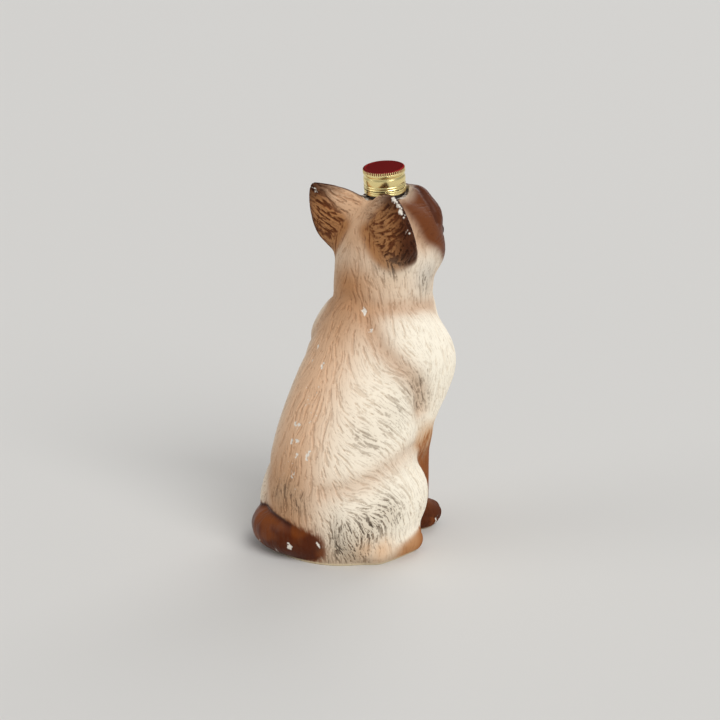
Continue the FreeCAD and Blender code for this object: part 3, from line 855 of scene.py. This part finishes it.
def surface(name, inputs, grain_mm=0.0, grain_depth=0.0):
    """Material with a principled shader; a grain size gives it a fine bump on object coordinates."""
    made = bpy.data.materials.new(name)
    made.use_nodes = True
    tree = made.node_tree
    tree.nodes.clear()
    shader = add(tree, "BsdfPrincipled", {})
    for key, value in inputs.items():
        shader.inputs[key].default_value = (*linear(value), 1) if isinstance(value, str) else value
    if grain_mm:
        at = add(tree, "TexCoord", {}).outputs["Object"]
        grain = add(tree, "TexNoise", {"Vector": at, "Scale": 1000 / grain_mm, "Detail": 3.0})
        bump = add(tree, "Bump", {"Height": grain.outputs["Fac"], "Strength": 1.0,
                                            "Distance": grain_depth * MM})
        tree.links.new(bump.outputs["Normal"], shader.inputs["Normal"])
    add(tree, "OutputMaterial", {"Surface": shader.outputs["BSDF"]})
    return made


BISQUE = surface("bisque_clay_airbrushed", {"Specular IOR Level": 0.13})
GOLD = surface("aluminium_drawn_gold_lacquer",
               {"Base Color": "#FAE7A4", "Metallic": 1.0, "Roughness": 0.24}, 2.5, 0.012)
RED = surface("aluminium_top_red_lacquer", {"Base Color": "#8E3434", "Metallic": 0.9, "Roughness": 0.32,
                                            "Specular Tint": "#B0544C"}, 0.8, 0.006)
PLASTIC = surface("plastic_moulded_dark_brown", {"Base Color": "#1D130E", "Roughness": 0.22}, 1.5, 0.01)
PLASTER = surface("plaster_cement_set", {"Base Color": "#CFC5B4", "Roughness": 0.9}, 0.6, 0.08)
BOARD = surface("pulpboard_pressed", {"Base Color": "#B49A78", "Roughness": 0.85}, 0.5, 0.05)
CORK = surface("cork_pressed", {"Base Color": "#B58A5C", "Roughness": 0.8}, 1.1, 0.1)
RAW = surface("bisque_clay_bare", {"Base Color": "#CBBFAE", "Roughness": 0.8}, 0.8, 0.05)
print("materials", len(bpy.data.materials))

# %% [markdown]
# The painted bisque is matt. Its colour comes from the paint at each point, with the roughness in the
# fourth channel. Hairs finer than the mesh are drawn in the material: noise added up at nine places along
# the combed direction, cut as shallow lines and darkened as painted shade in them.

# %% Painted bisque
HAIR_STEPS, HAIR_STEP_MM, HAIR_CELL_MM, HAIR_DEPTH_MM = 9, 0.6, 0.85, 0.3
HAIR_FROM, HAIR_TO = 4.6, 5.2        # of the nine values' sum, where a line begins and is full
# Share of painted shade in the hair lines
HAIR_SHADE = 0.5

tree = BISQUE.node_tree
shader = tree.nodes["Principled BSDF"]
painted = add(tree, "Attribute", {}, attribute_name="paint")
comb = add(tree, "Attribute", {}, attribute_name="comb")
at = add(tree, "TexCoord", {}).outputs["Object"]
hairs = []
for k in range(HAIR_STEPS):
    step = ((k - HAIR_STEPS // 2) * HAIR_STEP_MM * MM,) * 3
    along = add(tree, "VectorMath", {0: comb.outputs["Vector"], 1: step, 2: at},
                operation="MULTIPLY_ADD").outputs["Vector"]
    one = add(tree, "TexNoise", {"Vector": along, "Scale": 1000 / HAIR_CELL_MM, "Detail": 0.0})
    hairs.append(one.outputs["Fac"])
hair = hairs[0]
for one in hairs[1:]:
    hair = add(tree, "Math", {0: hair, 1: one}, operation="ADD").outputs["Value"]
line = add(tree, "MapRange", {"Value": hair, "From Min": HAIR_FROM, "From Max": HAIR_TO},
           interpolation_type="SMOOTHSTEP").outputs["Result"]
cut = add(tree, "Math", {0: line, 1: comb.outputs["Alpha"]}, operation="MULTIPLY").outputs["Value"]
bump = add(tree, "Bump", {"Height": cut, "Strength": 1.0, "Distance": HAIR_DEPTH_MM * MM},
           invert=True)
# Painted shade in the hair lines
shade = add(tree, "Math", {0: cut, 1: HAIR_SHADE}, operation="MULTIPLY").outputs["Value"]
hair_shaded = add(tree, "Mix",
             {"Factor": shade, "A": painted.outputs["Color"], "B": (*linear("#8A6A4C"), 1)},
             data_type="RGBA", blend_type="MULTIPLY")
tree.links.new(bump.outputs["Normal"], shader.inputs["Normal"])
tree.links.new(hair_shaded.outputs["Result"], shader.inputs["Base Color"])
tree.links.new(painted.outputs["Alpha"], shader.inputs["Roughness"])

# %% [markdown]
# The figure goes out in level bands, since one mesh of this size would be heavy to edit. Neighbouring
# bands share their edge points and the normals of the whole skin, so no seam shows.

# %% Figure in bands
BANDS = ("foot", "haunches", "flanks", "ribs", "shoulders", "head")


def new_object(name, verts, faces, materials, body, slot):
    """Mesh object from points in millimetres and four-sided faces, riding on a body in a node's place."""
    mesh = bpy.data.meshes.new(name)
    mesh.vertices.add(len(verts))
    mesh.vertices.foreach_set("co", (verts * MM).astype(np.float32).ravel())
    mesh.loops.add(faces.size)
    mesh.loops.foreach_set("vertex_index", faces.astype(np.int32).ravel())
    mesh.polygons.add(len(faces))
    mesh.polygons.foreach_set("loop_start", np.arange(0, faces.size, 4, dtype=np.int32))
    mesh.polygons.foreach_set("use_smooth", np.ones(len(faces), bool))
    mesh.update(calc_edges=True)
    for m in materials:
        mesh.materials.append(m)
    made = bpy.data.objects.new(name, mesh)
    SCENE.collection.objects.link(made)
    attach(made, body)
    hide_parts(slot)
    print(name, len(faces), "faces")
    return made


def taken_out(faces):
    """Numbers of the points that some faces use, and the faces numbered among those."""
    used, local = np.unique(faces, return_inverse=True)
    return used, local.reshape(-1, 4)


def point_colours(made, name, colour, alpha):
    """Three values and a fourth at every point, as an attribute that the material reads."""
    layer = made.data.color_attributes.new(name, "FLOAT_COLOR", "POINT")
    layer.data.foreach_set("color", np.column_stack([colour, alpha]).astype(np.float32).ravel())


# How deep the hair lines are cut and how much painted shade they take
hair_depth_and_shade = depth_mm * (0.6 + 1.15 * soot_and_shade)
corner = coat[faces]
tilt = np.cross(corner[:, 2] - corner[:, 0], corner[:, 3] - corner[:, 1])
skin_normals = np.stack([np.bincount(faces.ravel(), np.repeat(t, 4), len(coat)) for t in tilt.T], 1)
skin_normals = unit_rows(skin_normals, 1e-12)

# The closed end of the hole is left out: there the neck opens into the hollow
in_well = (neck_r < HOLE_R - 0.3) & (neck_s < -14) & (neck_s > -22)
faces = faces[~in_well[faces].any(1)]
level = coat[faces][:, :, 2].mean(1)
edges = np.quantile(level, np.linspace(0, 1, len(BANDS) + 1))
for k, name in enumerate(BANDS):
    chosen = faces[(level >= edges[k]) & ((level < edges[k + 1]) | (k == len(BANDS) - 1))]
    used, local = taken_out(chosen)
    band = new_object("figure_" + name, coat[used], local, [BISQUE], "decanter", "ceramic_figure")
    point_colours(band, "paint", paint[used], rough[used])
    point_colours(band, "comb", flow[used], hair_depth_and_shade[used])
    band.data.normals_split_custom_set_from_vertices(skin_normals[used])

# %% [markdown]
# The inside of the casting is bare clay: the same masses moved in by the wall, level at the floor and
# open at the neck hole. Little of it can be seen, so larger cells are enough.

# %% Inside wall
WALL, FLOOR = 5, 7
HOLE_SPAN = (-40, -10)      # along the neck axis, where the hole runs into the hollow
INSIDE_CELL = 2.5


def cavity_depth(p):
    """Depth in the hollow: trunk, neck, thighs and skull moved in by the wall, with the neck hole."""
    q = mirrored(p)
    d = join(trunk_depth(q), limb(q, *THROAT), VALLEY)
    for mass in (THIGH, SKULL):
        d = join(d, ball(q, *mass), VALLEY)
    d = np.maximum(d + WALL, FLOOR - p[:, 2])
    s, r = neck_axes(p)
    return np.minimum(d, np.maximum(r - HOLE_R, np.maximum(s - HOLE_SPAN[1], HOLE_SPAN[0] - s)))


inner, inner_faces = skin_mesh(cavity_depth, (-56, -80, 0), (56, 58, 240), INSIDE_CELL, 2)
inner_s, inner_r = neck_axes(inner)
open_top = (inner_s > -14) & (inner_r < 16)
used, local = taken_out(inner_faces[~open_top[inner_faces].any(1)][:, ::-1])
new_object("figure_inside", inner[used], local, [RAW], "decanter", "ceramic_figure")

# %% [markdown]
# Turned pieces. Neck, tamper ring and cap were moulded or rolled round one axis, so each is an outline of
# radius and height, closed on itself, swept round the neck axis, and changed a little at each angle.

# %% Sweep round the neck
ACROSS = unit(np.cross(NECK_AXIS, (0, 1, 0)))
AHEAD = np.cross(NECK_AXIS, ACROSS)


def divided(outline, most):
    """Closed outline with points added so that no stretch is longer than most."""
    out = []
    for a, b in zip(outline, outline[1:] + outline[:1]):
        n = max(1, math.ceil(math.dist(a, b) / most))
        out += [(a[0] + (b[0] - a[0]) * k / n, a[1] + (b[1] - a[1]) * k / n) for k in range(n)]
    return out


def turned(outline, count, shape):
    """Grid of a closed outline swept round the neck axis; shape changes radius and height by angle."""
    turn = np.arange(count) / count * 2 * np.pi
    r, s = [np.repeat(np.array(v, float)[:, None], count, 1) for v in zip(*outline)]
    r, s = shape(r, s, np.broadcast_to(turn, r.shape))
    round_axis = np.cos(turn)[:, None] * ACROSS + np.sin(turn)[:, None] * AHEAD
    verts = NECK_ORIGIN + s[..., None] * NECK_AXIS + r[..., None] * round_axis
    i, j = np.meshgrid(np.arange(len(outline)), np.arange(count), indexing="ij")
    over, on = (i + 1) % len(outline), (j + 1) % count
    quads = np.stack([i * count + j, i * count + on, over * count + on, over * count + j], -1)
    return verts.reshape(-1, 3), quads.reshape(-1, 4)


# %% [markdown]
# The neck is moulded plastic with a shank below its collar, a groove and a bead for the tamper ring and a
# raised screw line of one and a half turns, which the cap's skirt was rolled over.

# %% Neck
RIM, SHANK_END = 13.93, -14.4
PITCH = 3.175
SCREW_START, SCREW_LIFT, SCREW_HALF = 5.4, 0.85, 0.62
SCREW_END = 3 * np.pi
SCREW_FADE = 0.5
NECK_OUTLINE = [
    (11, SHANK_END), (11, -2.4), (13.0, -2.4), (13.2, -2.2), (13.2, -0.3), (13.0, -0.12), (11.55, -0.12),
    (11.55, 1.8), (12.9, 2.2), (13.3, 2.5), (13.4, 2.8), (13.3, 3.15), (12.15, 3.8), (12.15, 13.1),
    (12.0, 13.6), (11.65, RIM), (9.8, RIM), (9.2, 13.7), (9, 13.1), (9, SHANK_END)]


def screw(r, s, turn):
    """Radius raised by a rounded ridge that climbs one pitch a turn, fading at both ends."""
    height = s - SCREW_START - PITCH * turn / (2 * np.pi)
    lift = 0
    for k in range(2):
        wound = turn + 2 * np.pi * k
        fade = ramp(0, SCREW_FADE, wound) * ramp(SCREW_END, SCREW_END - SCREW_FADE, wound)
        lift = lift + SCREW_LIFT * np.exp(-((height - k * PITCH) / SCREW_HALF) ** 4) * fade
    on_wall = (r > 12.0) & (s > 3.9) & (s < 13.0)
    return np.where(on_wall, r + lift, r), s


new_object("neck_moulded", *turned(divided(NECK_OUTLINE, 0.3), 144, screw), [PLASTIC],
           "decanter", "neck_finish")

# %% [markdown]
# The tamper ring is what stays on the neck when the cap is first turned: a rolled band of the same sheet,
# turned in under the bead, with the stubs of the broken bridges on its upper edge.

# %% Tamper ring
RING_TOP = 3.2
NIBS, NIB_HEIGHT = 8, 0.22
RING_OUTLINE = [
    (11.9, 0.0), (13.45, 0.0), (13.85, 0.12), (14.1, 0.5), (14.1, 1.5), (13.92, 1.85), (14.1, 2.2),
    (14.1, RING_TOP), (13.75, RING_TOP), (13.75, 0.9), (13.6, 0.5), (13.25, 0.35), (11.9, 0.35)]


def bridges(r, s, turn):
    """Broken bridges: small nibs on the upper edge."""
    return r, np.where(s > RING_TOP - 0.1, s + NIB_HEIGHT * ramp(0.93, 0.97, np.cos(NIBS * turn)), s)


new_object("ring_rolled", *turned(divided(RING_OUTLINE, 0.3), 256, bridges), [GOLD],
           "tamper_ring", "tamper_ring")

# %% [markdown]
# The cap is drawn from one disc of sheet, beaded near its foot, rolled in over the thread and knurled at
# the top for the fingers. Its sheet was lacquered first, gold, and dark red on the top and over the
# knurls, whose ridges are drawn gold as painted highlights.

# %% Cap
KNURLS, KNURL_STEPS, KNURL_DEPTH = 60, 8, 0.45
SHEET = 0.35
CAP_POINT_GAP = 0.35
# Between these heights the knurls' ridges stay gold, as painted highlights
RED_FOOT, RED_TOP = 14.5, 16.3      # red in the knurls above the first height, all round above the second
CAP_OUTSIDE = [
    (13.75, 3.6), (13.95, 3.6), (14.1, 3.8), (14.1, 4.2), (13.8, 4.6), (13.8, 4.8), (14.1, 5.2),
    (14.1, 5.7), (13.75, 6.3), (13.85, 6.8), (14.05, 7.6), (14.1, 8.6), (14.1, 9.6), (14.0, 10.6),
    (13.7, 11.4),
    (13.5, 12.0), (13.5, 12.4), (13.8, 12.8), (14.05, 13.2), (14.1, 13.6), (14.1, 15.9), (14.0, 16.4),
    (13.75, 16.75), (13.3, 16.95), (12.7, 17.0), (12.3, 16.9), (11.9, 16.85), (6.0, 16.85), (0.02, 16.85)]
CAP_INSIDE = [(r - SHEET, s) for r, s in CAP_OUTSIDE[2:-7]] + [(12.6, 16.6), (6.0, 16.58), (0.02, 16.58)]


def knurled(r, s, turn):
    """Radius less grooves in the upper band, one for each tooth, fading at both edges."""
    band = ramp(14.3, 14.7, s) * ramp(16.95, 16.5, s) * (r > 13.0)
    tooth = ramp(-0.4, 0.7, np.cos(KNURLS * turn))
    return r - KNURL_DEPTH * band * tooth, s


cap_outline = divided(CAP_OUTSIDE + CAP_INSIDE[::-1], CAP_POINT_GAP)
cap = new_object("cap_drawn", *turned(cap_outline, KNURLS * KNURL_STEPS, knurled), [GOLD, RED],
                 "cap_shell", "cap_shell")
face_s = np.array([s for r, s in cap_outline])[:, None]
outside = (np.arange(len(cap_outline)) < len(divided(CAP_OUTSIDE, CAP_POINT_GAP)) - 1)[:, None]
in_groove = np.cos((np.arange(KNURLS * KNURL_STEPS) + 0.5) * 2 * np.pi / KNURL_STEPS)[None] > 0
# Red faces, but the knurls' ridges between the two heights stay gold as painted highlights
lacquer = outside & (face_s > RED_FOOT) & (in_groove | (face_s > RED_TOP))
cap.data.polygons.foreach_set("material_index", lacquer.astype(np.int32).ravel())

# %% [markdown]
# Cement, wad and cork disc are plain rings and discs: the solids show them well and only need a finish.

# %% Cement, wad and disc
for name, finish in (("neck_cement", PLASTER), ("cap_wad", BOARD), ("seal_disc", CORK)):
    NODES[name].data.materials.clear()
    NODES[name].data.materials.append(finish)
    print(name, finish.name)

# %% [markdown]
# The stage: a plain pale floor, one large soft light at the camera's right, weaker ones at its left and
# in front of the cat, and a pale sky, so that the colours come out about as they are written.

# %% Floor and light
FLOOR_HALF = 30           # metres
AIM = (0, -0.01, 0.13)
# Name, place in metres and strength
LIGHTS = (("key", (-1.34, 0.21, 1.2), 1.9), ("fill", (0.9, 1.3, 1.0), 0.45),
          ("front", (0.5, -1.5, 1.2), 0.8))
LIGHT_SPREAD = math.radians(40)
SKY_STRENGTH = 0.45

floor = bpy.data.meshes.new("floor")
a = FLOOR_HALF
floor.from_pydata([(-a, -a, 0), (a, -a, 0), (a, a, 0), (-a, a, 0)], [], [(0, 1, 2, 3)])
floor.materials.append(surface("floor_paper", {"Base Color": "#D6D4D0", "Roughness": 0.9}))
ground = bpy.data.objects.new("floor", floor)
SCENE.collection.objects.link(ground)


def look(made, place, target):
    """Put an object at a place with its -Z towards the target and its Y upwards."""
    back = unit(np.array(place, float) - np.array(target, float))
    right = unit(np.cross((0, 0, 1), back))
    rise = np.cross(back, right)
    rows = [[right[k], rise[k], back[k], place[k]] for k in range(3)]
    made.matrix_world = Matrix(rows + [[0, 0, 0, 1]])
    SCENE.collection.objects.link(made)


for name, place, power in LIGHTS:
    lamp = bpy.data.lights.new(name, "SUN")
    lamp.angle = LIGHT_SPREAD
    lamp.energy = power
    look(bpy.data.objects.new(name, lamp), place, AIM)

world = bpy.data.worlds.new("sky")
world.use_nodes = True
sky = world.node_tree.nodes["Background"].inputs
sky["Color"].default_value = (*linear("#E9EAEC"), 1)
sky["Strength"].default_value = SKY_STRENGTH
SCENE.world = world
SCENE.view_settings.view_transform = "Standard"

# %% [markdown]
# The camera stands behind the cat's right shoulder, a little above it, about a metre off, with a long
# lens, as the object was photographed.

# %% Camera
camera = bpy.data.cameras.new("camera")
camera.lens = 85
camera.sensor_width = 36
eye = bpy.data.objects.new("camera", camera)
CAMERA_AT = np.array((-0.78188, 0.76722, 0.44280))
CAMERA_LOOKS = np.array((0.6797, -0.6797, -0.2756))
look(eye, CAMERA_AT, CAMERA_AT + CAMERA_LOOKS)
SCENE.camera = eye
